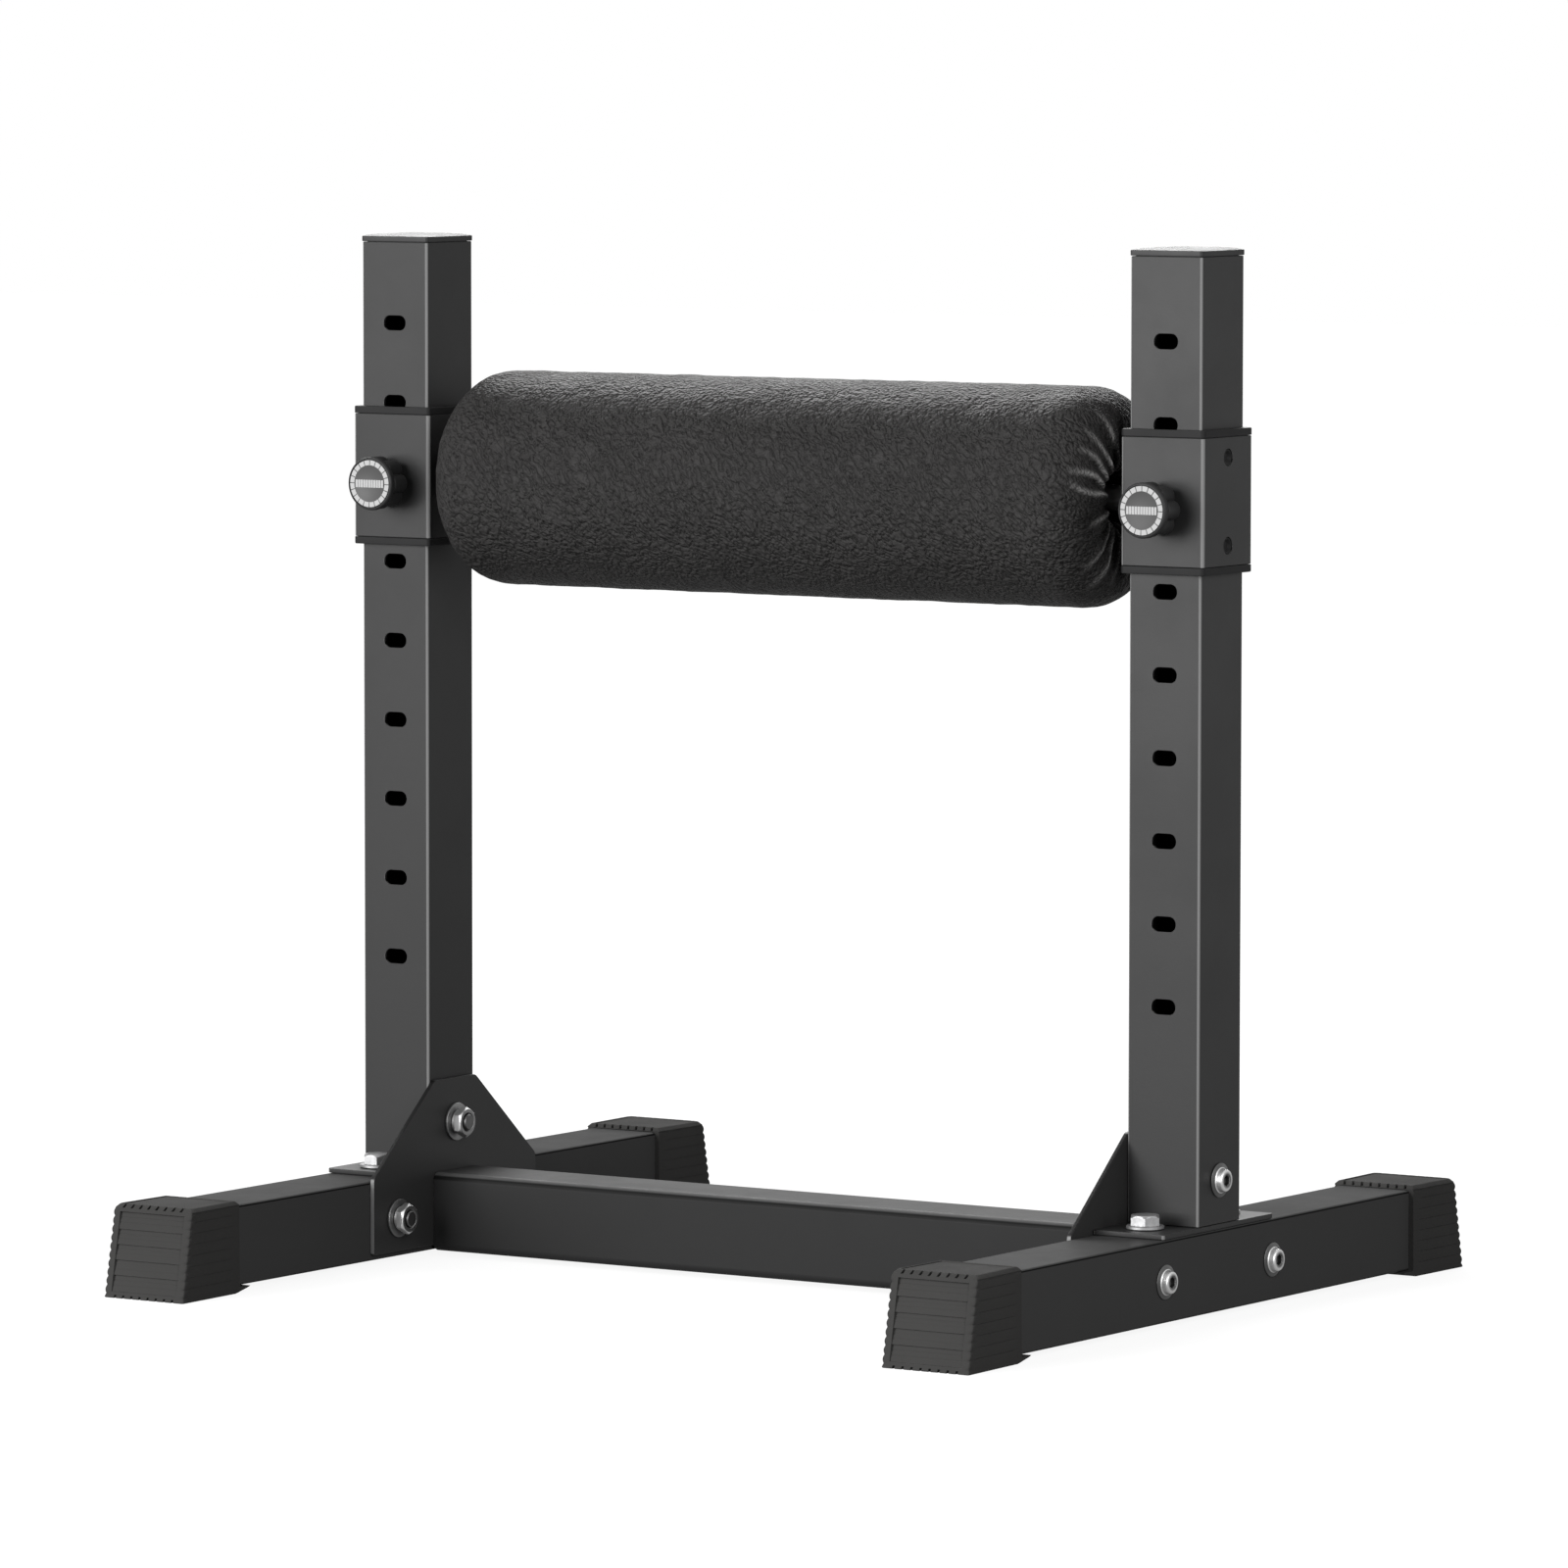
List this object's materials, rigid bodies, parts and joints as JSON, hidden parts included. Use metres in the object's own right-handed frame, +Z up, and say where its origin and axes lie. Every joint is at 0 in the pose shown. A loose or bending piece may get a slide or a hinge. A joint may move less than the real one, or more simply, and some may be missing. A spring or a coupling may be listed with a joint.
{
  "type": "split squat stand",
  "caption": "Floor-standing split squat stand: two slotted posts on a bolted frame carry a padded roller that slides up and down on two sleeves locked by spring pull pins.",
  "frame": {"origin": "on the floor under the middle of the stand, midway between the two posts", "axes": "+X along the roller towards the right-hand post as seen from the knobs' side, +Y away from the knobs, +Z up along the posts"},
  "size_m": [0.6256, 0.586, 0.6455],
  "materials": {
    "powder_coat": "satin",
    "foot_rubber": "matte",
    "black_plastic": "matte",
    "zinc": "polished",
    "spring_steel": "satin",
    "leatherette": "satin",
    "knob_face": "matte"
  },
  "bodies": {
    "frame": {"base_tube_left": "powder_coat", "base_tube_right": "powder_coat", "cross_tube": "powder_coat", "cross_flange_left": "powder_coat", "cross_flange_right": "powder_coat", "upright_left": "powder_coat", "upright_right": "powder_coat", "upright_foot_plate_left": "powder_coat", "upright_foot_plate_right": "powder_coat", "upright_cap_left": "black_plastic", "upright_cap_right": "black_plastic", "foot_front_left": "foot_rubber", "foot_front_right": "foot_rubber", "foot_back_left": "foot_rubber", "foot_back_right": "foot_rubber", "flange_bolt_front_left": "zinc", "flange_bolt_back_left": "zinc", "flange_bolt_post_left": "zinc", "flange_bolt_front_right": "zinc", "flange_bolt_back_right": "zinc", "flange_bolt_post_right": "zinc", "flange_nut_front_left": "zinc", "flange_nut_back_left": "zinc", "flange_nut_post_left": "zinc", "flange_nut_front_right": "zinc", "flange_nut_back_right": "zinc", "flange_nut_post_right": "zinc", "flange_washer_front_left": "zinc", "flange_washer_back_left": "zinc", "flange_washer_post_left": "zinc", "flange_washer_front_right": "zinc", "flange_washer_back_right": "zinc", "flange_washer_post_right": "zinc", "plate_bolt_front_left": "zinc", "plate_bolt_back_left": "zinc", "plate_bolt_front_right": "zinc", "plate_bolt_back_right": "zinc"},
    "carriage": {"sleeve_left": "powder_coat", "sleeve_right": "powder_coat", "bushing_upper_left": "black_plastic", "bushing_lower_left": "black_plastic", "bushing_upper_right": "black_plastic", "bushing_lower_right": "black_plastic", "roller_bar": "zinc", "bar_screw_left": "zinc", "bar_screw_right": "zinc", "pin_barrel_left": "powder_coat", "pin_barrel_right": "powder_coat", "pin_spring_left": "spring_steel", "pin_spring_right": "spring_steel"},
    "roller": {"roller_core": "powder_coat", "roller_bush_left": "black_plastic", "roller_bush_right": "black_plastic", "roller_pad": "leatherette"},
    "pin_left": {"lock_pin_left": "zinc"},
    "pin_right": {"lock_pin_right": "zinc"},
    "knob_left": {"knob_grip_left": "black_plastic", "knob_disc_left": "knob_face"},
    "knob_right": {"knob_grip_right": "black_plastic", "knob_disc_right": "knob_face"}
  },
  "joints": [
    {"name": "carriage_slide", "type": "slide", "parent": "frame", "child": "carriage", "axis": [0, 0, 1], "range_m": [-0.3, 0.1]},
    {"name": "roller_spin", "type": "hinge", "parent": "carriage", "child": "roller", "pos_m": [0, 0, 0.4935], "axis": [1, 0, 0], "continuous": true},
    {"name": "pin_left_pull", "type": "slide", "parent": "carriage", "child": "pin_left", "axis": [0, -1, 0], "range_m": [-0.004, 0.0055], "stiffness_N_per_m": 1000, "springref_m": -0.012, "deforming": ["pin_spring_left"]},
    {"name": "pin_right_pull", "type": "slide", "parent": "carriage", "child": "pin_right", "axis": [0, -1, 0], "range_m": [-0.004, 0.0055], "stiffness_N_per_m": 1000, "springref_m": -0.012, "deforming": ["pin_spring_right"]},
    {"name": "knob_left_turn", "type": "hinge", "parent": "pin_left", "child": "knob_left", "pos_m": [-0.2823, 0, 0.4895], "axis": [0, -1, 0], "continuous": true},
    {"name": "knob_right_turn", "type": "hinge", "parent": "pin_right", "child": "knob_right", "pos_m": [0.2823, 0, 0.4895], "axis": [0, -1, 0], "continuous": true}
  ]
}
